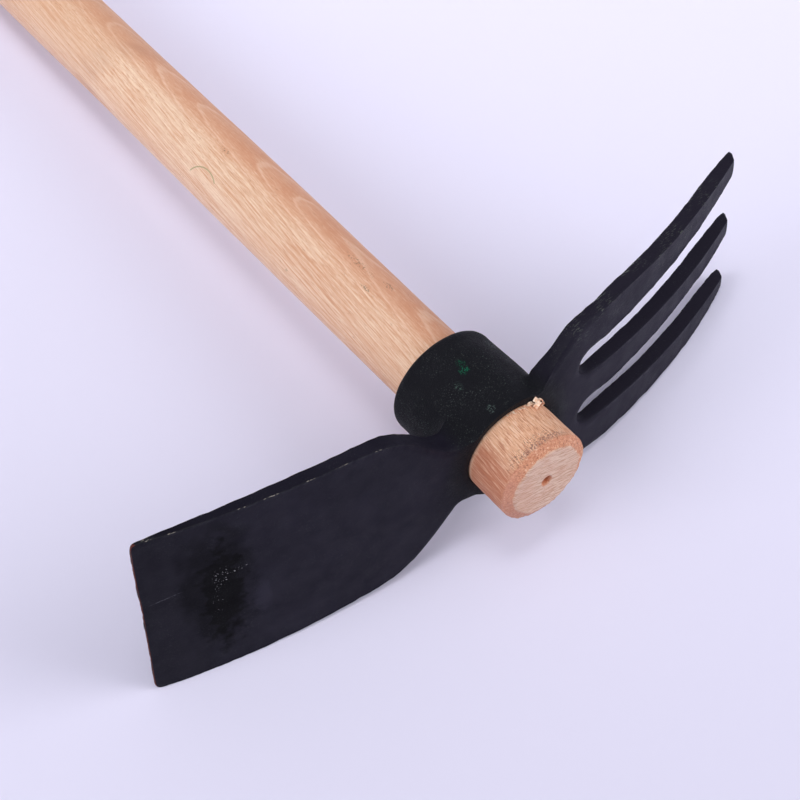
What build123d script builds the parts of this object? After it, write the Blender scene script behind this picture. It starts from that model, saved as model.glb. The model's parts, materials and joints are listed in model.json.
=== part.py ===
"""Double-headed hand hoe: a one-piece forged head on a turned slip-fit handle.

The head carries a hoe blade on one side of its eye and a three-tine fork on the other.
The handle is fattest at the head, so it goes in from the front of the eye and jams in
the eye's taper, with no wedge and no screw.

The pieces are drawn in the tool's working frame: the handle's axis is Y, the eye's mouth
is at Y = 0, the blade points to -X, the fork to +X, and Z is across the blade. They are
then laid down as the tool rests on a floor, on the blade's lower corner, the lowest tine
and the butt, with +Z up and the origin on the floor under the middle of the tool.
"""

import os

from build123d import *

os.makedirs("parts", exist_ok=True)

# Driving dimensions, in millimetres

# Eye: the tapered collar that holds the handle
eye_length = 35.5
eye_radius = 19.3
eye_rim_round = 2.6
bore_back_radius = 13.5
bore_mouth_radius = 16.0
mouth_chamfer = 0.7

# Hoe blade
blade_reach = 124.4          # from the handle's axis to the cutting edge
blade_sweep = 17.6           # how far the cutting edge lies behind the eye's mouth
blade_edge_width = 74.6
blade_bulge = 0.9             # how far the lower side swells out beside a straight line
blade_bulge_reach = 92.0
blade_shoulder_width = 69.6
blade_shoulder_reach = 54.0
blade_neck_width = 27.0
blade_neck_reach = 20.0
upper_neck_slope = 0.5       # how steeply each side runs into the neck
lower_neck_slope = 1.1
blade_edge_thickness = 1.6
blade_body_thickness = 4.2    # a quarter of the way in from the cutting edge
blade_shoulder_thickness = 4.6
blade_neck_thickness = 8.0
blade_corner_round = 1.5
trim_allowance = 3.0         # the blade's blank runs this much past the edge it is cut to

# Fork
fork_reach = 112.2           # to the tines' ends, at the front face
fork_sweep = 24.4
fork_width = 64.8
upper_tine_edge = 31.6       # from the fork's middle to an outer tine's outer edge, at its end
lower_tine_edge = 28.4
fork_rise = 0.8              # the fork sits a little high against the blade
fork_shoulder_reach = 32.0
fork_neck_width = 30.0
fork_neck_reach = 12.5
tine_end_slant = 2.6         # the back of a tine runs this much past its front
fork_tip_thickness = 3.9
fork_tine_thickness = 4.3    # near the tines' ends
fork_thickness = 4.2         # halfway out
fork_neck_thickness = 5.0
slot_root_reach = 29.0       # to the bottom of the slots
slot_root_width = 11.6
slot_root_centre = 12.1      # from the middle of the fork
slot_tip_width = 22.0
slot_tip_centre = 14.1
tine_end_flat = 0.4          # taken off the sharp back corner of each tine's end
tine_end_round = 1.8
tine_taper_length = 27.0     # the stretch where the outer edges draw in

# Handle
stub_length = 17.4           # what stands out of the eye's mouth
stub_radius = 16.1
stub_chamfer_length = 2.1
stub_chamfer_radius = 12.4
centre_hole_radius = 1.1
centre_hole_depth = 3.0
handle_length = 360.0
waist_radius = 13.5
waist_end = 130.0            # from the eye's mouth
grip_radius = 13.05
grip_start = 205.0           # from the eye's mouth
butt_round = 9.0


def arc_radius(reach, sweep):
    """Radius of the arc that leaves the mouth's plane on the axis and ends at the tip."""
    return (reach**2 + sweep**2) / (2 * sweep)


def face_depth(distance, reach, sweep):
    """How far a blade's or a fork's front face lies behind the mouth's plane."""
    radius = arc_radius(reach, sweep)
    return radius - (radius**2 - distance**2) ** 0.5


def bore_at(depth):
    """Radius of the eye's tapered bore at a depth behind its mouth."""
    return bore_mouth_radius + (bore_back_radius - bore_mouth_radius) * depth / eye_length


def behind(distance, reach, sweep, thickness):
    """A point of the back face, a thickness behind the front face, on the side of reach."""
    side = 1 if reach > 0 else -1
    return (side * distance, face_depth(distance, reach, sweep) + thickness)


# Blade: its side profile drawn out across its width, then cut to its plan outline

blank_reach = blade_reach + trim_allowance
blank_end = Vector(-blank_reach, face_depth(blank_reach, blade_reach, blade_sweep))

with BuildPart() as blade:
    with BuildSketch(Plane.XY):
        with BuildLine():
            face = TangentArc((0, 0), blank_end, tangent=(-1, 0))
            edge = Line(blank_end, blank_end + Vector(0, blade_edge_thickness))
            back = Spline(
                edge @ 1,
                behind(92, -blade_reach, blade_sweep, blade_body_thickness),
                behind(blade_shoulder_reach, -blade_reach, blade_sweep, blade_shoulder_thickness),
                behind(27, -blade_reach, blade_sweep, blade_neck_thickness),
                behind(0, -blade_reach, blade_sweep, 2.6 * blade_neck_thickness),
            )
            Line(back @ 1, face @ 0)
        make_face()
    extrude(amount=blade_edge_width, both=True)
    with BuildSketch(Plane.XZ) as blade_plan:
        with BuildLine():
            for way, bulge, neck_slope in (
                (1, 0.0, upper_neck_slope), (-1, blade_bulge, lower_neck_slope),
            ):
                corner = Vector(-blade_reach, way * blade_edge_width / 2)
                shoulder = Vector(-blade_shoulder_reach, way * blade_shoulder_width / 2)
                along = (blade_reach - blade_bulge_reach) / (blade_reach - blade_shoulder_reach)
                middle = corner + along * (shoulder - corner) + Vector(0, way * bulge)
                side = Spline(corner, middle, shoulder - Vector(0, 0.7 * way * bulge))
                cheek = Spline(
                    side @ 1,
                    (-37.0, way * 0.42 * blade_shoulder_width),
                    (-blade_neck_reach, way * blade_neck_width / 2),
                    tangents=[side % 1, (1, -neck_slope * way)],
                )
                Line(cheek @ 1, (0, way * blade_neck_width / 2))
            Line((0, blade_neck_width / 2), (0, -blade_neck_width / 2))
            Line((-blade_reach, blade_edge_width / 2), (-blade_reach, -blade_edge_width / 2))
        make_face()
        fillet(blade_plan.vertices().group_by(Axis.X)[0], radius=blade_corner_round)
    extrude(amount=2 * blade_reach, both=True, mode=Mode.INTERSECT)

# Fork: made as the blade is, then slotted into three pointed tines

with BuildPart() as fork:
    with BuildSketch(Plane.XY):
        with BuildLine():
            face = TangentArc((0, 0), (fork_reach, fork_sweep), tangent=(1, 0))
            tip_back = (fork_reach + tine_end_slant, fork_sweep + fork_tip_thickness)
            tip = Line(face @ 1, tip_back)
            back = Spline(
                tip @ 1,
                behind(0.85 * fork_reach, fork_reach, fork_sweep, fork_tine_thickness),
                behind(0.5 * fork_reach, fork_reach, fork_sweep, fork_thickness),
                behind(25, fork_reach, fork_sweep, fork_neck_thickness),
                behind(0, fork_reach, fork_sweep, 2.4 * fork_neck_thickness),
            )
            Line(back @ 1, face @ 0)
        make_face()
    extrude(amount=fork_width, both=True)
    with BuildSketch(Plane.XZ.shift_origin((0, 0, fork_rise))) as fork_plan:
        tine_end = fork_reach + tine_end_slant - tine_end_flat
        with BuildLine():
            for way, tine_edge in ((1, upper_tine_edge), (-1, lower_tine_edge)):
                half_neck = way * fork_neck_width / 2
                half_fork = way * fork_width / 2
                cheek = Line((0, half_neck), (fork_neck_reach, half_neck))
                shoulder = Spline(
                    cheek @ 1,
                    (21.0, 0.81 * half_fork),
                    (fork_shoulder_reach, half_fork),
                    tangents=[(0.4, way), (1, 0.04 * way)],
                )
                side = Line(shoulder @ 1, (tine_end - tine_taper_length, half_fork))
                TangentArc(side @ 1, (tine_end, way * tine_edge), tangent=(1, 0))
            Line((tine_end, upper_tine_edge), (tine_end, -lower_tine_edge))
            Line((0, fork_neck_width / 2), (0, -fork_neck_width / 2))
        make_face()
        # The slots open towards the tips, with round roots
        for way in (-1, 1):
            root = Vector(slot_root_reach + slot_root_width / 2, way * slot_root_centre)
            with Locations(root):
                Circle(slot_root_width / 2, mode=Mode.SUBTRACT)
            mouth = Vector(tine_end, way * slot_tip_centre)
            half_root = Vector(0, slot_root_width / 2)
            half_tip = Vector(0, slot_tip_width / 2)
            with BuildLine():
                Polyline(
                    root - half_root, mouth - half_tip, mouth + half_tip, root + half_root,
                    close=True,
                )
            make_face(mode=Mode.SUBTRACT)
        fillet(fork_plan.vertices().group_by(Axis.X)[-1], radius=tine_end_round)
    extrude(amount=2 * fork_reach, both=True, mode=Mode.INTERSECT)

# Forged head: the eye with the blade and the fork drawn out of its sides

with BuildPart() as forged_head:
    with BuildSketch(Plane.XY):
        with BuildLine():
            Polyline((0, 0), (eye_radius, 0), (eye_radius, eye_length), (0, eye_length), close=True)
        make_face()
    revolve(axis=Axis.Y)
    add(blade.part)
    add(fork.part)
    rim = forged_head.edges().filter_by(GeomType.CIRCLE).sort_by(Axis.Y)[-1]
    fillet(rim, radius=eye_rim_round)
    with BuildSketch(Plane.XY):
        with BuildLine():
            Polyline(
                (0, 0),
                (bore_mouth_radius + mouth_chamfer, 0),
                (bore_at(mouth_chamfer), mouth_chamfer),
                (bore_back_radius, eye_length),
                (0, eye_length),
                close=True,
            )
        make_face()
    revolve(axis=Axis.Y, mode=Mode.SUBTRACT)

# Handle: turned in one piece, from the stub's end face to the rounded butt

butt = handle_length - stub_length

with BuildPart() as handle:
    with BuildSketch(Plane.XY) as handle_profile:
        with BuildLine():
            stub = Polyline(
                (0, -stub_length),
                (stub_chamfer_radius, -stub_length),
                (stub_radius, stub_chamfer_length - stub_length),
                (bore_mouth_radius, 0),
                (bore_back_radius, eye_length),
                (waist_radius, waist_end),
            )
            taper = Line(stub @ 1, (grip_radius, grip_start))
            grip = Line(taper @ 1, (grip_radius, butt))
            Line(grip @ 1, (0, butt))
            Line((0, butt), stub @ 0)
        make_face()
        butt_corner = handle_profile.vertices().group_by(Axis.Y)[-1].sort_by(Axis.X)[-1]
        fillet(butt_corner, radius=butt_round)
    revolve(axis=Axis.Y)
    end_face = handle.faces().sort_by(Axis.Y)[0]
    with Locations(Plane(end_face.center(), z_dir=(0, -1, 0))):
        Hole(centre_hole_radius, depth=centre_hole_depth)

# Laid down: the floor touches the blade's corner, the lowest tine and the butt

blade_foot = Vector(-blade_reach, blade_sweep + blade_edge_thickness / 2, -blade_edge_width / 2)
tine_bend = fork_reach - tine_taper_length
tine_foot = Vector(
    tine_bend,
    face_depth(tine_bend, fork_reach, fork_sweep) + fork_thickness / 2,
    fork_rise - fork_width / 2,
)
butt_foot = Vector(0, butt - butt_round, -grip_radius)
up = (tine_foot - blade_foot).cross(butt_foot - blade_foot).normalized()
across = Vector(0, 1, 0).cross(up)
lay = Plane(origin=blade_foot, x_dir=across, z_dir=up).location.inverse()

pieces = {"forged_head": forged_head, "handle": handle}
for piece in pieces.values():
    piece.part.move(lay)

boxes = [piece.part.bounding_box() for piece in pieces.values()]
low = Vector(min(b.min.X for b in boxes), min(b.min.Y for b in boxes), min(b.min.Z for b in boxes))
high = Vector(max(b.max.X for b in boxes), max(b.max.Y for b in boxes), 0)
to_origin = Location((-(low.X + high.X) / 2, -(low.Y + high.Y) / 2, -low.Z))

for name, piece in pieces.items():
    piece.part.move(to_origin)
    piece.part.label = name
    export_step(piece.part, f"parts/{name}.step")
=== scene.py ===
"""Looks for the double-headed hand hoe: a forged black head on a turned wooden handle.

Shapes are worked out in the tool's working frame, in millimetres: Y runs along the
handle from the eye's mouth towards the butt, X from the axis towards the fork (the blade
is at -X) and Z across the blade. The frame's own geometry says where that is in the row.
"""

import json
import math

import bmesh
import bpy
import numpy as np
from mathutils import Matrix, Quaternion, Vector, kdtree, noise


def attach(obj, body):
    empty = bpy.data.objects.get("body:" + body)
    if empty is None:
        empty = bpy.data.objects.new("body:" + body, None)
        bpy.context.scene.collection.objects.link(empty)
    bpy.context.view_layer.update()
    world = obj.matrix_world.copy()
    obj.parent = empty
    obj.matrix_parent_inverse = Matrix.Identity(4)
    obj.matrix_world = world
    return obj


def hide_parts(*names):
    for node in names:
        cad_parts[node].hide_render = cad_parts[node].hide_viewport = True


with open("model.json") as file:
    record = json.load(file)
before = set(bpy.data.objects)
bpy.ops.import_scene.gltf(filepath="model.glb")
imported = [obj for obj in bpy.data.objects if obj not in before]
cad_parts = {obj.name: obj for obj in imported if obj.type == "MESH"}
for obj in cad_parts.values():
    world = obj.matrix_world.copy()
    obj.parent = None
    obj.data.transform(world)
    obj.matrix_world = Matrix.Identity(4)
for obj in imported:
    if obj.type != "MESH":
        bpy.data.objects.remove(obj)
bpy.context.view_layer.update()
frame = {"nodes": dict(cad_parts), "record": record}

MM = 0.001
EDGE_DEPTH = 4               # how far in from its cutting edge the blade is looked at, in mm

# The tool's working frame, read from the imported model


def cad_points(node):
    """Vertices of a CAD node, in the row frame, in millimetres."""
    vertices = frame["nodes"][node].data.vertices
    points = np.empty(3 * len(vertices))
    vertices.foreach_get("co", points)
    return points.reshape(-1, 3) / MM


def find_tool_frame():
    """The origin and the axes (as columns) of the tool's working frame, in the row frame.

    Y is the grip's axis, the origin is where the head begins along it, and Z follows the
    blade's cutting edge, the part of the head that reaches furthest out to one side.
    """
    mounts = {mount["name"]: mount for mount in frame["record"]["mounts"]}
    along = np.array(mounts["grip"]["axis"])
    along /= np.linalg.norm(along)
    centre = np.array(mounts["grip"]["pos_m"]) / MM
    head = cad_points("forged_head")
    mouth = ((head - centre) @ along).min()
    origin = centre + mouth * along
    sideways = np.cross(along, (0, 0, 1))
    reach = (head - origin) @ sideways
    edge = head[reach < reach.min() + EDGE_DEPTH]
    across = edge[edge[:, 2].argmax()] - edge[edge[:, 2].argmin()]
    across -= along * (across @ along)
    across /= np.linalg.norm(across)
    return origin, np.column_stack([np.cross(along, across), along, across])


ORIGIN, AXES = find_tool_frame()


def to_row(points):
    """Tool-frame millimetres to row-frame metres."""
    return (np.asarray(points, float) @ AXES.T + ORIGIN) * MM


def to_tool(points):
    """Row-frame metres to tool-frame millimetres."""
    return (np.asarray(points, float) / MM - ORIGIN) @ AXES


# Sizes, in millimetres, measured on the CAD model

handle_cad = to_tool(cad_points("handle") * MM)
STUB_END = handle_cad[:, 1].min()
BUTT_END = handle_cad[:, 1].max()
EYE_LENGTH = 35.5
EYE_RADIUS = 19.3
BLADE_SWEEP = 0.00114        # the blade's front face lies at y = BLADE_SWEEP * x * x

# Small helpers


def smoothstep(low, high, value):
    """0 below low, 1 above high, and smooth between them; low may be the larger."""
    t = np.clip((value - low) / (high - low), 0, 1)
    return t * t * (3 - 2 * t)


def noise_at(points, scale, seed=0.0, octaves=3):
    """Smooth noise of about -1 to 1 at tool-frame points; scale is its size in mm per axis."""
    places = np.asarray(points, float) / np.asarray(scale, float) + seed
    return np.array([noise.fractal(Vector(p), 1.0, 2.0, octaves) for p in places])


def new_object(name, vertices, faces):
    """A mesh object from tool-frame points."""
    mesh = bpy.data.meshes.new(name)
    mesh.from_pydata([tuple(v) for v in to_row(vertices)], [], faces)
    mesh.validate()
    shape = bpy.data.objects.new(name, mesh)
    bpy.context.scene.collection.objects.link(shape)
    return shape


def smooth_shaded(shape):
    """Shades every face of an object smoothly."""
    shape.data.polygons.foreach_set("use_smooth", [True] * len(shape.data.polygons))


def tool_coordinates(shape):
    """Stores each vertex's place in the tool frame for the materials."""
    points = mesh_points(shape.data)
    attribute = shape.data.attributes.new("tool", "FLOAT_VECTOR", "POINT")
    attribute.data.foreach_set("vector", points.ravel())


def mesh_points(mesh):
    """Vertices of a mesh, in the tool frame."""
    points = np.empty(3 * len(mesh.vertices))
    mesh.vertices.foreach_get("co", points)
    return to_tool(points.reshape(-1, 3))


def set_points(mesh, points):
    """Moves a mesh's vertices to tool-frame points."""
    mesh.vertices.foreach_set("co", to_row(points).ravel())
    mesh.update()


def mesh_normals(mesh):
    """Vertex normals of a mesh, in the tool frame."""
    normals = np.empty(3 * len(mesh.vertices))
    mesh.vertex_normals.foreach_get("vector", normals)
    return normals.reshape(-1, 3) @ AXES


# Forged head

VOXEL = 0.55                 # mesh width of the head's skin
SHARP = math.radians(35)     # the CAD head's edges that bend by more than this get vertices
SNAP = 0.62                  # how near such an edge a vertex is put on it, in voxels


def neighbour_sum(values, edges):
    """The sum of one number over each vertex's neighbours."""
    total = np.bincount(edges[:, 0], values[edges[:, 1]], len(values))
    return total + np.bincount(edges[:, 1], values[edges[:, 0]], len(values))


def neighbour_mean(points, edges, weights):
    """The weighted mean of each vertex's neighbours, column by column."""
    columns = [neighbour_sum(weights * values, edges) for values in points.T]
    return np.column_stack(columns) / neighbour_sum(weights, edges)[:, None]


def relax(values, edges, steps, share=0.5):
    """Moves every vertex's values towards the mean of its neighbours', in place."""
    evenly = np.ones(len(values))
    for step in range(steps):
        values += share * (neighbour_mean(values, edges, evenly) - values)


def sharp_points(skin, spacing):
    """A search tree of points along the sharp edges of a bmesh."""
    places = []
    for edge in skin.edges:
        if edge.calc_face_angle(0) > SHARP:
            start, end = (vertex.co for vertex in edge.verts)
            count = max(1, math.ceil((end - start).length / spacing))
            places += [start.lerp(end, (step + 0.5) / count) for step in range(count)]
    tree = kdtree.KDTree(len(places))
    for number, place in enumerate(places):
        tree.insert(place, number)
    tree.balance()
    return tree


def remeshed_head():
    """The CAD head as one even skin of small quads, with rows of vertices on its edges."""
    voxel = VOXEL * MM
    mesh = frame["nodes"]["forged_head"].data.copy()
    skin = bmesh.new()
    skin.from_mesh(mesh)
    bmesh.ops.remove_doubles(skin, verts=skin.verts, dist=1e-6)
    sharp = sharp_points(skin, 0.2 * voxel)
    skin.to_mesh(mesh)
    skin.free()
    shape = bpy.data.objects.new("forged_head_skin", mesh)
    bpy.context.scene.collection.objects.link(shape)
    remesh = shape.modifiers.new("remesh", "REMESH")
    remesh.mode = "VOXEL"
    remesh.voxel_size = voxel
    graph = bpy.context.evaluated_depsgraph_get()
    even = bpy.data.meshes.new_from_object(shape.evaluated_get(graph))
    shape.modifiers.clear()
    shape.data = even
    for vertex in even.vertices:
        place, number, distance = sharp.find(vertex.co)
        if distance < SNAP * voxel:
            vertex.co = place
    return shape


def fill_seams(mesh, points, edges):
    """Fills the inside corners where the blade and the fork leave the eye, in place."""
    evenly = np.ones(len(points))
    for step in range(180):
        if step % 20 == 0:
            set_points(mesh, points)
            normals = mesh_normals(mesh)
            off_eye = np.hypot(points[:, 0], points[:, 2]) - EYE_RADIUS
            seam = smoothstep(-2.4, -0.6, off_eye) * smoothstep(12, 3, off_eye)
            seam *= smoothstep(34, 24, points[:, 1])
        pull = neighbour_mean(points, edges, evenly) - points
        outward = np.einsum("ij,ij->i", pull, normals) > 0
        points += 0.5 * (seam * outward)[:, None] * pull


def standing_proud(points, normals, edges):
    """How far each vertex stands out of a softened copy of the skin, in millimetres."""
    soft = points.copy()
    relax(soft, edges, 14)
    proud = np.einsum("ij,ij->i", points - soft, normals)[:, None]
    relax(proud, edges, 5)
    return proud[:, 0]


def forging_unevenness(points):
    """The points with the forging's small departures from the shape that was drawn."""
    x, y, z = points.T
    moved = points.copy()
    # The eye is fuller on the fork's side, and its far rim stands a little short
    angle = np.arctan2(z, x)
    radius = np.hypot(x, z)
    eye = smoothstep(EYE_RADIUS - 2.6, EYE_RADIUS - 0.8, radius)
    eye *= smoothstep(EYE_RADIUS + 5, EYE_RADIUS + 1, radius)
    flare = 0.6 * eye * smoothstep(34, 14, y) * smoothstep(0.35, 0.9, np.cos(angle - 0.45))
    moved[:, 0] += flare * np.cos(angle)
    moved[:, 2] += flare * np.sin(angle)
    moved[:, 1] -= 0.35 * smoothstep(28, 35, y) * (radius < EYE_RADIUS + 2)
    # The blade's upper edge is slightly bowed, its lower edge full near the neck, and the
    # cutting edge's upper half stands a little further out
    top = smoothstep(18, 34, z) * smoothstep(-30, -45, x)
    bow = 0.45 * smoothstep(-40, -60, x)
    moved[:, 2] += top * bow
    low = smoothstep(-4, -14, z) * smoothstep(-20, -30, x) * smoothstep(-60, -46, x)
    moved[:, 2] -= 0.4 * low
    moved[:, 0] -= 0.4 * smoothstep(4, 22, z) * smoothstep(-112, -122, x)
    # The upper tine leaves the fork's shoulder in a slow curve
    curve = smoothstep(38, 48, x) * smoothstep(76, 54, x)
    moved[:, 2] += 0.6 * smoothstep(20, 29, z) * curve
    # The blade is drawn out thinner towards its cutting edge
    behind = np.maximum(y - BLADE_SWEEP * x * x, 0)
    moved[:, 1] -= 0.42 * behind * smoothstep(-64, -122, x)
    return moved


def build_head():
    """The head with forged fillets between eye, blade and fork, worn edges and waves."""
    shape = remeshed_head()
    mesh = shape.data
    points = mesh_points(mesh)
    edges = np.empty(2 * len(mesh.edges), int)
    mesh.edges.foreach_get("vertices", edges)
    edges = edges.reshape(-1, 2)

    # Even out the skin, pushed back at every other step so that it doesn't shrink
    for step in range(12):
        relax(points, edges, 1, 0.5 if step % 2 == 0 else -0.53)
    fill_seams(mesh, points, edges)

    # Round the edges off further where the blade and the fork grow out of the eye
    reach = np.abs(points[:, 0])
    off_eye = np.hypot(points[:, 0], points[:, 2]) - EYE_RADIUS
    neck = smoothstep(15, 20, reach) * smoothstep(44, 30, reach) * smoothstep(0.5, 4, off_eye)
    relax(points, edges, 24, 0.5 * neck[:, None])

    # Fair the outside edges along their length
    set_points(mesh, points)
    normals = mesh_normals(mesh)
    proud = standing_proud(points, normals, edges)
    along_edge = np.maximum(proud, 0) ** 3 + 1e-6
    worn = smoothstep(0.05, 0.18, proud)
    for step in range(16):
        fair = neighbour_mean(points, edges, along_edge) - points
        points += 0.5 * worn[:, None] * fair

    # Slow waves from the forging, nicks along the outside edges, and a fuller fork; the
    # bore keeps its shape
    free = smoothstep(-2.8, -0.5, np.hypot(points[:, 0], points[:, 2]) - EYE_RADIUS)
    wave = 0.08 * noise_at(points, 30, seed=3.1, octaves=2)
    nick = 0.07 * noise_at(points, 2.2, seed=8.4, octaves=3)
    nick += 0.08 * noise_at(points, 9, seed=5.4, octaves=2)
    fuller = 0.9 * np.clip(proud, 0, 0.2) + 0.1 * smoothstep(16, 40, points[:, 0])
    points += (free * (wave + worn * nick + fuller))[:, None] * normals
    back = smoothstep(0.1, 0.7, normals[:, 1]) * smoothstep(18, 30, points[:, 0])
    thicker = 0.7 - 0.35 * smoothstep(50, 64, points[:, 0]) * smoothstep(98, 86, points[:, 0])
    points[:, 1] += free * back * thicker

    # Nothing may sink into the floor
    row = to_row(forging_unevenness(points))
    row[:, 2] = np.maximum(row[:, 2], 0)
    set_points(mesh, to_tool(row))

    attribute = mesh.attributes.new("proud", "FLOAT", "POINT")
    attribute.data.foreach_set("value", proud / np.quantile(proud, 0.995))
    smooth_shaded(shape)
    tool_coordinates(shape)
    shape.name = "forged_head_skin"
    return shape


# Handle

AROUND = 200                 # vertices in each ring
STUB_RADIUS = 16.1
CHAMFER_WIDTH = 3.7          # of the stub's chamfer, seen from its end
CHAMFER_LENGTH = 2.1
CHAMFER_END = STUB_END + CHAMFER_LENGTH
PIT_LONG = 1.95              # half-lengths of the pit left by the lathe's centre
PIT_SHORT = 1.8
PIT_DEPTH = 2.2
PIT_TURN = math.radians(24)
BUTT_ROUNDING = 9.0
BUTT_FLAT = 4.05             # radius of the butt's flat middle


def side_profile():
    """Stations along the handle's side as (radius, y), from the chamfer round the butt."""
    round_off = BUTT_END - BUTT_ROUNDING
    knots = (
        (STUB_RADIUS, CHAMFER_END), (16.0, 0.0), (13.45, EYE_LENGTH), (13.55, 60.0),
        (13.6, 130.0), (13.45, 160.0), (13.1, 205.0), (13.05, round_off),
    )
    radii, places = zip(*knots)
    # Closer stations on the stub than on the grip
    stations = list(np.arange(CHAMFER_END, 1.0, 0.3))
    stations += list(np.arange(1.4, 240, 1.4))
    stations += list(np.arange(242, round_off, 3))
    profile = [(np.interp(y, places, radii), y) for y in stations]
    for turn in np.linspace(0, math.pi / 2, 14)[:-1]:
        radius = BUTT_FLAT + BUTT_ROUNDING * math.cos(turn)
        profile.append((radius, round_off + BUTT_ROUNDING * math.sin(turn)))
    profile += [(radius, BUTT_END) for radius in (4.0, 2.6, 1.3, 0.4)]
    return profile


def handle_rings(chamfer_width, chamfer_length):
    """Every ring of the handle as (radii, y), from the middle of the end face to the butt."""
    rings = []
    # End face, finer in the middle, where the pit is
    face_steps = np.concatenate([np.linspace(0.02, 0.24, 16), np.linspace(0.26, 1, 36)])
    for step in face_steps:
        rings.append((step * (STUB_RADIUS - chamfer_width), np.full(AROUND, STUB_END)))
    # Chamfer
    for step in np.linspace(0, 1, 13)[1:]:
        radius = STUB_RADIUS - chamfer_width * (1 - step)
        rings.append((radius, STUB_END + chamfer_length * step))
    # The side, with its first stretch drawn out to meet the ragged chamfer
    for radius, y in side_profile()[1:]:
        near = smoothstep(0.3, 6, y - CHAMFER_END)
        ring_y = y - (CHAMFER_LENGTH - chamfer_length) * (1 - near)
        rings.append((np.full(AROUND, radius), ring_y))
    return rings


def ring_faces(count):
    """Faces between rings, and one that closes each end."""
    faces = []
    for row in range(count - 1):
        for column in range(AROUND):
            a = row * AROUND + column
            b = row * AROUND + (column + 1) % AROUND
            faces.append((a, b, b + AROUND, a + AROUND))
    faces.append(tuple(range(AROUND - 1, -1, -1)))
    faces.append(tuple((count - 1) * AROUND + column for column in range(AROUND)))
    return faces


def build_handle():
    """The turned handle: sawn end face, ragged chamfer, torn grain and rounded butt."""
    angles = np.linspace(0, 2 * math.pi, AROUND, endpoint=False)
    rim = np.column_stack([16 * np.cos(angles), 0 * angles, 16 * np.sin(angles)])
    ragged = noise_at(rim, 3.2, 5.0) + 0.4 * noise_at(rim, 1.1, 9.0)
    chamfer_width = CHAMFER_WIDTH + 0.6 * ragged
    chamfer_length = CHAMFER_LENGTH - 0.15 + 0.3 * noise_at(rim, 3.6, 12.0)
    rings = handle_rings(chamfer_width, chamfer_length)
    points = np.concatenate([
        np.column_stack([radius * np.cos(angles), y, radius * np.sin(angles)])
        for radius, y in rings
    ])
    radius = np.hypot(points[:, 0], points[:, 2])
    outward = np.column_stack([points[:, 0], 0 * radius, points[:, 2]])
    outward /= np.maximum(radius, 1e-6)[:, None]

    # The pit in the middle of the end face
    turned_x = points[:, 0] * math.cos(PIT_TURN) + points[:, 2] * math.sin(PIT_TURN)
    turned_z = -points[:, 0] * math.sin(PIT_TURN) + points[:, 2] * math.cos(PIT_TURN)
    pit = np.hypot(turned_x / PIT_LONG, turned_z / PIT_SHORT)
    on_face = points[:, 1] < STUB_END + 0.01
    points[:, 1] += on_face * PIT_DEPTH * smoothstep(1.15, 0.45, pit)

    # Torn grain on the stub, and crumbled wood on the chamfer
    in_eye = smoothstep(-1.0, 0.5, points[:, 1]) * smoothstep(37, 35.6, points[:, 1])
    on_side = smoothstep(STUB_END + 2.0, STUB_END + 3.4, points[:, 1])
    streaks = noise_at(points, (0.9, 9, 0.9), seed=2.0, octaves=2)
    tear = 0.09 * smoothstep(2, -2, points[:, 1]) + 0.02
    points += (on_side * (1 - in_eye) * tear * streaks)[:, None] * outward
    inner = STUB_RADIUS - np.tile(chamfer_width, len(rings))
    on_chamfer = smoothstep(inner - 0.1, inner + 0.3, radius)
    on_chamfer *= smoothstep(STUB_END + 3.4, STUB_END + 2.0, points[:, 1])
    points[:, 1] += on_chamfer * 0.2 * noise_at(points, 0.75, seed=6.0, octaves=3)
    # A long gentle unevenness from the turning
    sway = 0.12 * noise_at(points, (60, 45, 60), seed=1.0, octaves=2)
    points += ((1 - in_eye) * smoothstep(2, 40, points[:, 1]) * sway)[:, None] * outward

    shape = new_object("turned_handle", points, ring_faces(len(rings)))
    smooth_shaded(shape)
    tool_coordinates(shape)
    return shape


# Wood shaving curled up at the eye's mouth


def ribbon(vertices, faces, path, across, width, cup):
    """Adds a curled strip: path points, the direction across it, its widths and its cup."""
    base = len(vertices)
    places = 7               # vertices across the strip
    middle = path.mean(axis=0)
    for step, point in enumerate(path):
        outward = point - middle
        outward /= max(np.linalg.norm(outward), 1e-6)
        for place in range(places):
            s = place / (places - 1) - 0.5
            ripple = 0.3 * noise.noise(Vector((step * 0.23, s * 3, base * 0.37)))
            bend = cup * (4 * s * s - 1) + ripple
            vertices.append(point + s * width[step] * across + bend * outward)
    for step in range(len(path) - 1):
        for place in range(places - 1):
            a = base + step * places + place
            faces.append((a, a + 1, a + places + 1, a + places))


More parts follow.
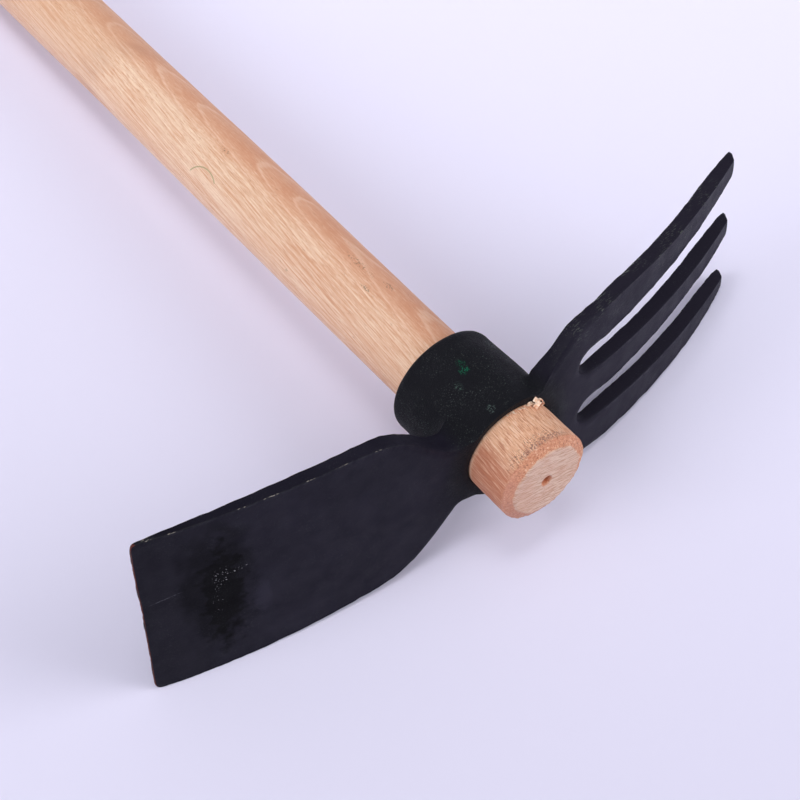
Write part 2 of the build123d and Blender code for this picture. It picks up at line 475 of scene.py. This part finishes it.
def build_shaving():
    """Slivers that the eye's rim peeled off the handle: a loose knot and a frayed fringe."""
    # The knot's middle, and the directions out of the stub, round it and towards its end
    centre = np.array([9.3, -1.2, 14.2])
    outward = np.array([0.55, 0.0, 0.835])
    tangent = np.array([0.835, 0.0, -0.55])
    forward = np.array([0.0, -1.0, 0.0])
    vertices = []
    faces = []
    # size, turns, start angle, lean of the curl's axis, shift of its middle, width
    curls = (
        (2.1, 1.5, -60, 0.5, (0.0, 0.0, 0.0), 1.7),
        (1.5, 1.3, 80, -0.9, (1.3, -0.2, 0.6), 1.2),
        (1.3, 1.2, 170, 0.1, (-1.4, -0.6, -0.7), 1.3),
        (1.0, 1.1, 250, 1.3, (0.2, -1.6, -1.3), 0.9),
    )
    for size, turns, start, lean, shift, width in curls:
        t = np.linspace(0, 1, 50)
        angle = math.radians(start) + t * turns * 2 * math.pi
        across = math.cos(lean) * forward + math.sin(lean) * tangent
        along = math.cos(lean) * tangent - math.sin(lean) * forward
        reach = size * (1 - 0.4 * t)
        path = centre + np.outer(reach * np.cos(angle), outward)
        path += np.outer(reach * np.sin(angle), along) + np.outer(1.6 * t - 0.8, across)
        path += shift[0] * tangent + shift[1] * forward + shift[2] * outward
        ribbon(vertices, faces, path, across, width * (1 - 0.5 * t**3), 0.3)
    # The fringe, lifted off the stub along the eye's mouth
    for number in range(9):
        angle = math.radians(62 + 4.2 * number)
        around = np.array([math.cos(angle), 0.0, math.sin(angle)])
        sideways = np.array([-math.sin(angle), 0.0, math.cos(angle)])
        t = np.linspace(0, 1, 12)
        length = 1.1 + 0.8 * math.sin(2.3 * number)
        lift = 0.9 - 0.06 * number
        path = np.outer(16.0 + lift * t**1.5, around) + np.outer(0.2 - length * t, -forward)
        path += np.outer(0.5 * t * math.sin(3.1 * number), sideways)
        ribbon(vertices, faces, path, sideways, 1 - 0.75 * t, 0.05)
    shape = new_object("wood_shaving", np.array(vertices), faces)
    thick = shape.modifiers.new("thickness", "SOLIDIFY")
    thick.thickness = 0.16 * MM
    thick.offset = 0
    rounder = shape.modifiers.new("rounder", "SUBSURF")
    rounder.levels = 1
    rounder.render_levels = 1
    smooth_shaded(shape)
    tool_coordinates(shape)
    return shape


# Materials


def linear(red, green, blue):
    """A linear colour from 0-255 screen values."""
    levels = []
    for level in (red, green, blue):
        level /= 255
        levels.append(level / 12.92 if level <= 0.04045 else ((level + 0.055) / 1.055) ** 2.4)
    return (*levels, 1.0)


class Nodes:
    """Short calls for building one material's node tree."""

    def __init__(self, name):
        self.material = bpy.data.materials.new(name)
        self.material.use_nodes = True
        self.tree = self.material.node_tree
        self.tree.nodes.clear()
        output = self.tree.nodes.new("ShaderNodeOutputMaterial")
        self.shader = self.tree.nodes.new("ShaderNodeBsdfPrincipled")
        self.tree.links.new(self.shader.outputs[0], output.inputs["Surface"])

    def put(self, socket, value):
        """Links a socket or sets a plain value."""
        if isinstance(value, bpy.types.NodeSocket):
            self.tree.links.new(value, socket)
        else:
            socket.default_value = value

    def attribute(self, name, output):
        node = self.tree.nodes.new("ShaderNodeAttribute")
        node.attribute_name = name
        return node.outputs[output]

    def math(self, operation, a, b=0.0, clamp=False):
        node = self.tree.nodes.new("ShaderNodeMath")
        node.operation = operation
        node.use_clamp = clamp
        self.put(node.inputs[0], a)
        self.put(node.inputs[1], b)
        return node.outputs[0]

    def times(self, a, b):
        return self.math("MULTIPLY", a, b)

    def plus(self, a, b):
        return self.math("ADD", a, b)

    def minus(self, a, b):
        return self.math("SUBTRACT", a, b)

    def larger(self, a, b):
        return self.math("MAXIMUM", a, b)

    def vector(self, operation, a, b=(0, 0, 0), result=0):
        node = self.tree.nodes.new("ShaderNodeVectorMath")
        node.operation = operation
        self.put(node.inputs[0], a)
        self.put(node.inputs[1], b)
        return node.outputs[result]

    def dot(self, a, b):
        return self.vector("DOT_PRODUCT", a, b, result=1)

    def length(self, vector):
        return self.vector("LENGTH", vector, result=1)

    def parts(self, vector):
        node = self.tree.nodes.new("ShaderNodeSeparateXYZ")
        self.put(node.inputs[0], vector)
        return node.outputs

    def join(self, x, y, z):
        node = self.tree.nodes.new("ShaderNodeCombineXYZ")
        for socket, value in zip(node.inputs, (x, y, z)):
            self.put(socket, value)
        return node.outputs[0]

    def noise(self, vector, scale=1.0, detail=3.0, roughness=0.5, stretch=(1, 1, 1), seed=0.0):
        """Noise of 0 to 1; stretch is how long its features are along each axis."""
        sized = self.vector("DIVIDE", vector, stretch)
        moved = self.vector("ADD", sized, (seed, 1.7 * seed, 2.3 * seed))
        node = self.tree.nodes.new("ShaderNodeTexNoise")
        self.put(node.inputs["Vector"], moved)
        node.inputs["Scale"].default_value = scale
        node.inputs["Detail"].default_value = detail
        node.inputs["Roughness"].default_value = roughness
        return node.outputs["Fac"]

    def step(self, value, low, high, to_low=0.0, to_high=1.0):
        """Smooth step of a value from low to high."""
        node = self.tree.nodes.new("ShaderNodeMapRange")
        node.interpolation_type = "SMOOTHSTEP"
        self.put(node.inputs["Value"], value)
        for name, number in zip(
            ("From Min", "From Max", "To Min", "To Max"), (low, high, to_low, to_high)
        ):
            node.inputs[name].default_value = number
        return node.outputs["Result"]

    def mix(self, factor, a, b):
        node = self.tree.nodes.new("ShaderNodeMix")
        node.data_type = "RGBA"
        self.put(node.inputs[0], factor)
        self.put(node.inputs[6], a)
        self.put(node.inputs[7], b)
        return node.outputs[2]

    def over(self, colour, mask, strength, top):
        """A colour with another laid over it where the mask is set."""
        return self.mix(self.times(mask, strength), colour, top)

    def spot(self, place, centre, sizes, ragged=0.35, grain=2.0, seed=0.0):
        """A soft patch of 0 to 1 round a point, with a ragged outline."""
        offset = self.vector("DIVIDE", self.vector("SUBTRACT", place, centre), sizes)
        distance = self.length(offset)
        edge = self.noise(place, scale=1 / grain, detail=4, seed=seed)
        shifted = self.plus(distance, self.times(edge, 2 * ragged))
        return self.step(shifted, 1.0 + ragged, 0.5 + ragged)

    def bump(self, height, distance, strength):
        node = self.tree.nodes.new("ShaderNodeBump")
        node.inputs["Strength"].default_value = strength
        node.inputs["Distance"].default_value = distance
        self.put(node.inputs["Height"], height)
        return node.outputs[0]


# Chips along the blade's upper front edge: how far out they lie, and half the stretch's length
EDGE_CHIPS = ((-120, 1.6), (-113, 1.5), (-92, 1.5), (-83, 3.5), (-71, 3), (-60, 2.5), (-47, 3))

# Flakes of green paint and grey scuffs on the eye: place, sizes, strength and colour
EYE_MARKS = (
    ((-1.2, 22.8, 19.2), (1.9, 2.0, 3), 0.7, (10, 88, 62)),
    ((-2.0, 20.0, 19.2), (2.2, 1.8, 3), 1.0, (8, 118, 84)),
    ((-6.6, 17.0, 18.1), (1.3, 2.4, 1.6), 0.5, (96, 124, 112)),
    ((-4.7, 3.6, 18.7), (1.7, 2.0, 1.7), 0.6, (98, 116, 112)),
    ((13.1, 26, 14.1), (2.2, 2.4, 2.2), 0.5, (96, 110, 106)),
)


def stain_mask(n, place):
    """The oily patch on the blade's front, darker in its core."""
    stain = n.spot(place, (-102, 12.2, 4.5), (15, 14, 35), ragged=0.5, grain=7, seed=4.0)
    core = n.spot(place, (-100.5, 12.0, -1), (10, 12, 31), ragged=0.6, grain=4, seed=4.6)
    return n.larger(n.times(stain, 0.62), core)


def speck_mask(n, place, dust):
    """Pale specks on the stain: a cluster, a streak beside it and a few below."""
    cluster = n.spot(place, (-100.5, 11.8, 7.5), (3.2, 5, 6.5), ragged=0.4, grain=3, seed=5.0)
    streak = n.spot(place, (-96, 11.0, 8.5), (6.5, 5, 1.0), ragged=0.3, grain=3, seed=5.5)
    few = n.spot(place, (-102.5, 12.2, -3), (2.4, 5, 9), ragged=0.5, grain=3, seed=5.8)
    specks = n.times(cluster, n.step(dust, 0.63, 0.68))
    specks = n.larger(specks, n.times(streak, n.step(dust, 0.60, 0.68)))
    return n.larger(specks, n.times(few, n.step(dust, 0.68, 0.72)))


def scratch_mask(n, place, dust):
    """A fine scratch near the cutting edge that slants up a little."""
    offset = n.vector("SUBTRACT", place, (-117.5, 15.9, 7.0))
    rise = n.times(n.parts(offset)[0], -0.11)
    offset = n.vector("ADD", offset, n.join(0.0, 0.0, rise))
    scratch = n.length(n.vector("DIVIDE", offset, (6.5, 4.5, 0.3)))
    return n.times(n.step(scratch, 1.0, 0.5), n.step(dust, 0.42, 0.52))


def black_steel():
    """Thin matte black paint over a forged skin, chipped along the edges."""
    n = Nodes("black_steel")
    place = n.attribute("tool", "Vector")
    proud = n.attribute("proud", "Fac")
    x, y, z = n.parts(place)
    on_eye = n.step(n.length(n.join(x, 0.0, z)), 27, 20)
    on_tines = n.step(x, 16, 34)
    behind = n.minus(y, n.times(BLADE_SWEEP, n.times(x, x)))
    in_front = n.step(behind, 1.1, 0.6)
    edge = n.step(proud, 0.5, 0.85)

    cloudy = n.noise(place, scale=1 / 14, detail=5, roughness=0.6, seed=1.0)
    colour = n.mix(n.step(cloudy, 0.35, 0.7), linear(23, 21, 33), linear(29, 27, 39))
    colour = n.over(colour, on_eye, 0.8, linear(23, 24, 28))
    colour = n.over(colour, on_tines, 0.7, linear(34, 31, 43))
    colour = n.over(colour, n.step(x, -84, -122), 0.45, linear(12, 11, 18))

    # Marks on the blade's front
    stain = n.times(stain_mask(n, place), in_front)
    colour = n.over(colour, stain, 0.9, linear(4, 4, 5))
    smear = n.spot(place, (-88, 9.1, -10), (4, 5, 9), ragged=0.6, grain=4, seed=6.0)
    colour = n.over(colour, smear, 0.3, linear(50, 48, 62))
    dust = n.noise(place, scale=1.5, detail=2, roughness=0.6, seed=7.0)
    specks = n.times(speck_mask(n, place, dust), in_front)
    colour = n.over(colour, specks, 0.9, linear(170, 168, 174))
    colour = n.over(colour, scratch_mask(n, place, dust), 0.4, linear(100, 98, 108))

    # Dust that lies on the eye, and a little of it elsewhere
    grains = n.noise(place, scale=2.6, detail=2, roughness=0.6, seed=41.0)
    sprinkle = n.noise(place, scale=1 / 9, detail=3, seed=43.0)
    dusty = n.times(n.step(grains, 0.61, 0.69), n.step(sprinkle, 0.32, 0.66))
    dusty = n.times(dusty, n.plus(0.25, n.times(on_eye, 0.75)))
    colour = n.over(colour, dusty, 0.6, linear(102, 112, 108))

    # Wear and chips along the blade's upper front edge
    chip_noise = n.noise(
        place, scale=2.6, detail=3, roughness=0.6, stretch=(4, 1, 1), seed=9.0
    )
    front_edge = n.times(edge, n.step(behind, 2.2, 1.4))
    upper = n.times(n.step(z, 24, 29), n.step(x, -22, -34))
    front_edge = n.times(front_edge, upper)
    colour = n.over(colour, front_edge, 0.3, linear(56, 57, 58))
    chips = 0.0
    for middle, half in EDGE_CHIPS:
        distance = n.math("ABSOLUTE", n.plus(x, -middle))
        chips = n.larger(chips, n.step(distance, half, 0.4 * half))
    chips = n.times(n.times(chips, front_edge), n.step(chip_noise, 0.52, 0.58))
    colour = n.over(colour, chips, 0.8, linear(160, 154, 146))

    # Worn olive-grey flecks on the top of the fork
    on_fork = n.times(n.step(x, 15, 24), n.step(x, 112, 90))
    on_fork = n.times(on_fork, n.step(z, 22, 28))
    fleck_place = n.noise(place, scale=1 / 6, detail=2, seed=12.0)
    flecks = n.times(on_fork, n.step(fleck_place, 0.42, 0.6))
    flecks = n.times(flecks, n.step(chip_noise, 0.55, 0.62))
    flecks = n.times(flecks, n.plus(0.4, n.times(edge, 0.6)))
    colour = n.over(colour, flecks, 0.65, linear(108, 114, 106))

    # The thin rusty line along the cutting edge
    ground = n.times(n.step(x, -123.2, -123.8), edge)
    colour = n.over(colour, ground, 0.8, linear(98, 50, 42))

    flakes = n.noise(place, scale=2.2, detail=2, roughness=0.6, seed=47.0)
    for number, (centre, sizes, strength, tint) in enumerate(EYE_MARKS):
        flake = n.spot(place, centre, sizes, ragged=0.5, grain=1.4, seed=20 + number)
        flake = n.times(flake, n.step(flakes, 0.53, 0.59))
        colour = n.over(colour, flake, strength, linear(*tint))
    n.put(n.shader.inputs["Base Color"], colour)

    patchy = n.noise(place, scale=1 / 6, detail=4, seed=15.0)
    rough = n.step(patchy, 0.3, 0.75, 0.50, 0.62)
    rough = n.plus(rough, n.times(stain, 0.25))
    rough = n.math("SUBTRACT", rough, n.times(on_tines, 0.06), clamp=True)
    n.put(n.shader.inputs["Roughness"], rough)
    n.shader.inputs["Specular IOR Level"].default_value = 0.08

    # Fine grit and scale, coarser on the eye than on the flats, and small pits
    grit = n.noise(place, scale=2.2, detail=4, roughness=0.7, seed=30.0)
    scale = n.noise(place, scale=0.55, detail=5, roughness=0.6, seed=33.0)
    pits = n.step(n.noise(place, scale=0.6, detail=2, seed=37.0), 0.74, 0.80)
    height = n.plus(n.times(grit, 0.9), n.times(scale, 0.7))
    height = n.times(height, n.plus(0.4, n.times(on_eye, 2.4)))
    height = n.plus(height, n.times(pits, -0.5))
    n.put(n.shader.inputs["Normal"], n.bump(height, 0.2 * MM, 0.8))
    return n.material


GRAIN_LEAN = (0.034, 0.074)  # how far the grain runs out along x and z, per mm of length
RING_SPACING = 2.1

# Specks of dirt on the handle: place and sizes
DIRT_SPOTS = (
    ((-1.3, 146.8, 13.4), (0.9, 3.0, 0.9)), ((-2.1, 69.7, 13.3), (0.9, 3.0, 0.9)),
    ((2.6, 79.0, 13.0), (1.5, 9.0, 1.5)), ((-13.5, 139.0, -1.0), (0.8, 1.2, 0.8)),
    ((-12.6, 98.0, 4.5), (0.7, 1.2, 0.7)), ((4.3, 66.0, 12.6), (1.4, 3.6, 1.4)),
)

# The green fibre's arc on the handle's unrolled surface: radius of the handle there, middle
# (round the handle and along it), bend radius, and where the arc stops in both directions
FIBRE_ROLL = 13.5
FIBRE_MIDDLE = (39.1, 145.9)
FIBRE_BEND = 7.7
FIBRE_STOPS = (36.4, 140.6)


def growth_rings(n, grain):
    """Masks of late and early wood, in nearly flat layers."""
    wander = n.noise(grain, detail=2, stretch=(30, 110, 30), seed=2.0)
    ring = n.dot(grain, (0.42, 0.0, 0.91))
    ring = n.plus(ring, n.times(wander, 7.0))
    jitter = n.noise(grain, detail=3, stretch=(1.2, 44, 1.2), seed=5.0)
    ring = n.plus(ring, n.times(jitter, 0.5))
    turn = n.math("FRACT", n.math("DIVIDE", ring, RING_SPACING))
    late = n.times(n.step(turn, 0.2, 0.92), n.step(turn, 1.0, 0.95))
    early = n.times(n.step(turn, 0.0, 0.05), n.step(turn, 0.20, 0.08))
    return late, early


def grain_colour(n, place, grain, broad, fine):
    """The handle's wood: rings met edge-on on one side and flat on the other, the flat side
    darker with painted shade, and streaks.
    """
    late, early = growth_rings(n, grain)
    streaks = n.noise(grain, detail=3, roughness=0.6, stretch=(0.5, 36, 0.5), seed=11.0)
    flat_grain_and_shade_side = n.step(n.dot(place, (0.80, 0.0, 0.60)), 3.5, 11.0)
    striped = n.minus(1.0, n.times(flat_grain_and_shade_side, 0.7))
    far = n.step(n.parts(place)[1], 70, 135)
    pale_base = n.mix(far, linear(228, 188, 160), linear(232, 200, 173))
    warm_base = n.mix(far, linear(218, 170, 140), linear(224, 183, 153))
    colour = n.mix(n.step(broad, 0.32, 0.68), pale_base, warm_base)
    # The flat-grained side in a darker orange: its grain, and painted shade on that side
    colour = n.over(colour, flat_grain_and_shade_side, 0.66, linear(212, 145, 112))
    colour = n.over(colour, late, 0.30, linear(204, 140, 106))
    colour = n.over(colour, early, 0.38, linear(240, 208, 184))
    pale = n.times(n.step(streaks, 0.52, 0.64), striped)
    colour = n.over(colour, pale, 0.52, linear(243, 217, 193))
    tawny = n.times(n.step(streaks, 0.48, 0.36), striped)
    colour = n.over(colour, tawny, 0.48, linear(208, 148, 110))
    light_fibres = n.times(n.step(fine, 0.55, 0.66), n.plus(0.2, striped))
    colour = n.over(colour, light_fibres, 0.38, linear(248, 229, 206))
    dark_fibres = n.times(n.step(fine, 0.45, 0.34), n.plus(0.25, striped))
    return n.over(colour, dark_fibres, 0.42, linear(192, 128, 92))


def fibre_mask(n, x, y, z):
    """A green fibre stuck to the handle, curled on its unrolled surface."""
    around = n.times(n.math("ARCTAN2", z, x), FIBRE_ROLL)
    from_middle = n.join(n.minus(around, FIBRE_MIDDLE[0]), n.minus(y, FIBRE_MIDDLE[1]), 0.0)
    off_line = n.minus(n.length(from_middle), FIBRE_BEND)
    fibre = n.step(n.math("ABSOLUTE", off_line), 0.30, 0.14)
    fibre = n.times(fibre, n.step(around, FIBRE_STOPS[0], FIBRE_STOPS[0] - 0.6))
    return n.times(fibre, n.step(y, FIBRE_STOPS[1], FIBRE_STOPS[1] + 0.6))


def stub_colour(n, torn, fine, painted_shade_low_side):
    """The stub's wood: redder, and darker and redder still low down where painted shade is laid
    on, with pale and dark torn fibres.
    """
    # Darker and redder on the low side: painted shade
    stub = n.mix(n.times(painted_shade_low_side, 0.8), linear(226, 175, 142), linear(178, 98, 71))
    torn_pale = n.minus(0.7, n.times(painted_shade_low_side, 0.25))
    torn_pale = n.times(n.step(torn, 0.53, 0.60), torn_pale)
    stub = n.mix(torn_pale, stub, linear(246, 212, 186))
    stub = n.over(stub, n.step(torn, 0.47, 0.39), 0.7, linear(172, 98, 68))
    return n.over(stub, n.step(fine, 0.46, 0.34), 0.45, linear(160, 96, 72))


def chamfer_colour(n, speckle, holes, painted_shade_low_side):
    """Crumbly orange wood with pale crumbs, painted shade in its pits, and a plainer tone of
    painted shade low down.
    """
    crumbly = n.mix(n.step(speckle, 0.38, 0.60), linear(186, 110, 78), linear(220, 160, 126))
    crumbly = n.over(crumbly, n.step(holes, 0.42, 0.34), 0.7, linear(242, 208, 180))
    # Painted shade in the pits, where the bump sinks the surface
    crumbly = n.over(crumbly, n.step(holes, 0.60, 0.66), 0.8, linear(126, 68, 44))
    # A plainer, pinker tone on the low side: painted shade
    return n.over(crumbly, painted_shade_low_side, 0.5, linear(202, 146, 126))


def sawn_colour(n, place, lines, speckle):
    """The sawn end face: greyer, with fine lines across it."""
    sawn = n.mix(n.step(lines, 0.42, 0.60), linear(227, 200, 180), linear(194, 149, 125))
    cloud = n.noise(place, scale=1 / 7, detail=3, seed=29.0)
    sawn = n.over(sawn, n.step(cloud, 0.4, 0.7), 0.35, linear(214, 164, 138))
    return n.over(sawn, n.step(speckle, 0.64, 0.72), 0.3, linear(172, 108, 84))


def pit_masks(n, place, y):
    """The pit left by the lathe's centre, and painted shade in its deepest part, to one side."""
    cosine = math.cos(PIT_TURN)
    sine = math.sin(PIT_TURN)
    pit_x = n.dot(place, (cosine, 0.0, sine))
    pit_z = n.dot(place, (-sine, 0.0, cosine))
    pit_place = n.join(pit_x, 0.0, pit_z)
    pit = n.spot(pit_place, (0, 0, 0), (1.25 * PIT_LONG, 1, 1.4 * PIT_SHORT), 0.25, 1, 31.0)
    pit = n.times(pit, n.step(y, STUB_END + 3, STUB_END + 2.5))
    pit_painted_shade = n.spot(pit_place, (0.9, 0, 0), (1.3, 1, 1.0), ragged=0.2, grain=1, seed=32.0)
    return pit, n.times(pit_painted_shade, pit)


def turned_wood():
    """Bare pale wood, cut at a slight slant to its grain, with a redder, bruised stub."""
    n = Nodes("turned_wood")
    place = n.attribute("tool", "Vector")
    x, y, z = n.parts(place)
    grain_x = n.minus(x, n.times(y, GRAIN_LEAN[0]))
    grain_z = n.minus(z, n.times(y, GRAIN_LEAN[1]))
    grain = n.join(grain_x, y, grain_z)
    broad = n.noise(grain, detail=3, stretch=(9, 70, 9), seed=8.0)
    fine = n.noise(grain, detail=3, roughness=0.65, stretch=(0.28, 7.5, 0.28), seed=13.0)
    torn = n.noise(grain, detail=3, roughness=0.65, stretch=(0.34, 8, 0.34), seed=19.0)
    speckle = n.noise(place, scale=2.0, detail=3, roughness=0.65, seed=25.0)
    colour = grain_colour(n, place, grain, broad, fine)

    # Towards the butt the wood is browner, behind a slanting smudge
    slant = n.plus(y, n.times(x, 0.6))
    colour = n.over(colour, n.step(slant, 196, 216), 0.3, linear(206, 160, 130))
    smudge = n.times(n.step(slant, 199, 206), n.step(slant, 216, 208))
    smudge = n.times(smudge, n.step(broad, 0.35, 0.55))
    colour = n.over(colour, smudge, 0.35, linear(178, 130, 108))

    # Short dark pores, a few specks of dirt and the fibre
    pores = n.noise(grain, detail=2, stretch=(0.24, 1.8, 0.24), seed=17.0)
    colour = n.over(colour, n.step(pores, 0.65, 0.74), 0.5, linear(158, 100, 72))
    crumbs = n.noise(place, scale=1.6, detail=2, roughness=0.6, seed=49.0)
    for number, (centre, sizes) in enumerate(DIRT_SPOTS):
        dirt = n.spot(place, centre, sizes, ragged=0.3, grain=0.8, seed=50 + number)
        dirt = n.times(dirt, n.step(crumbs, 0.54, 0.60))
        colour = n.over(colour, dirt, 0.6, linear(108, 82, 60))
    colour = n.over(colour, fibre_mask(n, x, y, z), 0.6, linear(132, 136, 84))

    on_stub = n.step(y, 1.0, -1.5)
    # The stub's side facing down and towards the blade, where painted shade goes into the colour
    painted_shade_low_side = n.step(n.dot(place, (-0.9, 0.0, -0.44)), 1.5, 8.5)
    colour = n.over(colour, on_stub, 0.9, stub_colour(n, torn, fine, painted_shade_low_side))

    # Bruised and speckled just behind the chamfer
    bruise_y = CHAMFER_END + 0.8
    band = n.spot(place, (1.0, bruise_y, 16), (13, 2.0, 10), ragged=0.6, grain=1.6, seed=23.0)
    band = n.times(band, n.step(speckle, 0.34, 0.60))
    colour = n.over(colour, band, 0.55, linear(138, 88, 86))
    around_band = (-1.0, bruise_y + 0.8, 15.5)
    dots = n.spot(place, around_band, (14, 3.9, 10), ragged=0.6, grain=1.8, seed=26.0)
    dots = n.times(dots, n.step(speckle, 0.54, 0.60))
    colour = n.over(colour, dots, 0.75, linear(82, 54, 54))

    chamfer = n.step(n.length(n.join(x, 0.0, z)), 12.0, 12.8)
    chamfer = n.times(chamfer, n.step(y, STUB_END + 2.9, STUB_END + 1.9))
    holes = n.noise(place, scale=1.2, detail=3, roughness=0.6, seed=45.0)
    colour = n.over(colour, chamfer, 0.85, chamfer_colour(n, speckle, holes, painted_shade_low_side))

    face = n.step(y, STUB_END + 0.45, STUB_END + 0.2)
    across = n.dot(place, (0.26, 0.0, 0.966))
    along_saw = n.join(across, 0.0, n.times(x, 0.09))
    lines = n.noise(along_saw, scale=3.6, detail=3, roughness=0.55, seed=27.0)
    colour = n.over(colour, face, 0.9, sawn_colour(n, place, lines, speckle))
    pit, pit_painted_shade = pit_masks(n, place, y)
    colour = n.over(colour, pit, 0.85, linear(190, 108, 70))
    # Painted shade in the deepest part of the pit, to one side
    colour = n.over(colour, pit_painted_shade, 0.6, linear(104, 50, 32))
    n.put(n.shader.inputs["Base Color"], colour)

    n.put(n.shader.inputs["Roughness"], n.step(fine, 0.2, 0.8, 0.62, 0.48))
    n.shader.inputs["Specular IOR Level"].default_value = 0.3

    height = n.plus(n.times(fine, 0.6), n.times(pores, -0.4))
    height = n.plus(height, n.times(n.times(on_stub, torn), 0.9))
    height = n.plus(height, n.times(n.times(face, lines), 0.8))
    crumbled = n.times(chamfer, n.plus(speckle, n.times(holes, -2)))
    height = n.plus(height, n.times(crumbled, 1.6))
    n.put(n.shader.inputs["Normal"], n.bump(height, 0.12 * MM, 0.6))
    return n.material


def shaving_wood():
    """Freshly torn wood fibres."""
    n = Nodes("shaving_wood")
    place = n.attribute("tool", "Vector")
    fibres = n.noise(place, scale=1.4, detail=4, stretch=(1, 3, 1), seed=3.0)
    colour = n.mix(n.step(fibres, 0.35, 0.65), linear(254, 236, 216), linear(232, 178, 144))
    n.put(n.shader.inputs["Base Color"], colour)
    n.shader.inputs["Roughness"].default_value = 0.6
    n.put(n.shader.inputs["Normal"], n.bump(fibres, 0.2 * MM, 0.6))
    return n.material


def pale_floor():
    """The plain, nearly matte studio floor."""
    n = Nodes("pale_floor")
    n.shader.inputs["Base Color"].default_value = linear(229, 226, 248)
    n.shader.inputs["Roughness"].default_value = 0.75
    n.shader.inputs["Specular IOR Level"].default_value = 0.2
    return n.material


def dress(shape, material, slot, *nodes):
    """Gives a piece its material and its place in the frame."""
    shape.data.materials.clear()
    shape.data.materials.append(material)
    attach(shape, "root")
    if nodes:
        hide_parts(*nodes)


# Stage

CAMERA_PLACE = (-316.7, -373.0, 635.5)   # in the tool's frame
CAMERA_TARGET = (-41.5, 0.0, 55.3)
CAMERA_ROLL = math.radians(-0.53)
LENS = 117.24
FLOOR_HALF = 6.0                         # half of the floor's side, in metres
HEAD_PLACE = (0, -0.05, 0.02)            # in the row's frame, in metres, as the lights are


def add_floor():
    mesh = bpy.data.meshes.new("floor")
    signs = ((-1, -1), (1, -1), (1, 1), (-1, 1))
    corners = [(FLOOR_HALF * a, FLOOR_HALF * b, 0) for a, b in signs]
    mesh.from_pydata(corners, [], [(0, 1, 2, 3)])
    floor = bpy.data.objects.new("floor", mesh)
    bpy.context.scene.collection.objects.link(floor)
    floor.data.materials.append(pale_floor())


def aim(thing, target, roll=0.0):
    """Points a camera or light at a row-frame point."""
    toward = Vector(target) - thing.location
    turn = toward.to_track_quat("-Z", "Y")
    thing.rotation_mode = "QUATERNION"
    thing.rotation_quaternion = turn @ Quaternion((0, 0, 1), roll)


def add_camera():
    """The photograph's view."""
    data = bpy.data.cameras.new("camera")
    data.sensor_width = 36
    data.lens = LENS
    data.clip_end = 50
    camera = bpy.data.objects.new("camera", data)
    camera.location = to_row(CAMERA_PLACE)
    aim(camera, to_row(CAMERA_TARGET), CAMERA_ROLL)
    bpy.context.scene.collection.objects.link(camera)
    bpy.context.scene.camera = camera


def add_light(name, place, target, size, power, spread=180):
    """A round soft box; size in metres, power in watts, spread in degrees."""
    data = bpy.data.lights.new(name, "AREA")
    data.shape = "DISK"
    data.size = size
    data.energy = power
    data.spread = math.radians(spread)
    light = bpy.data.objects.new(name, data)
    light.location = place
    aim(light, target)
    bpy.context.scene.collection.objects.link(light)


def add_lights():
    """Two soft boxes in front, a weak one over the floor behind, and a pale studio round them."""
    add_light("front_left", (-0.84, -0.134, 0.6), HEAD_PLACE, 0.8, 6.3)
    add_light("right", (0.63, -0.694, 0.55), HEAD_PLACE, 0.8, 5.7)
    add_light("over_back", (0.095, 0.066, 1.3), (0.35, 0.37, 0), 0.9, 1.7, spread=50)
    world = bpy.data.worlds.new("studio")
    world.use_nodes = True
    sky = world.node_tree.nodes["Background"]
    sky.inputs["Color"].default_value = (0.98, 0.98, 1.08, 1)
    sky.inputs["Strength"].default_value = 0.29
    bpy.context.scene.world = world
    bpy.context.scene.view_settings.view_transform = "Standard"


add_floor()
add_camera()
add_lights()

dress(build_head(), black_steel(), "black_steel", "forged_head")
dress(build_handle(), turned_wood(), "turned_wood", "handle")
dress(build_shaving(), shaving_wood(), "turned_wood")

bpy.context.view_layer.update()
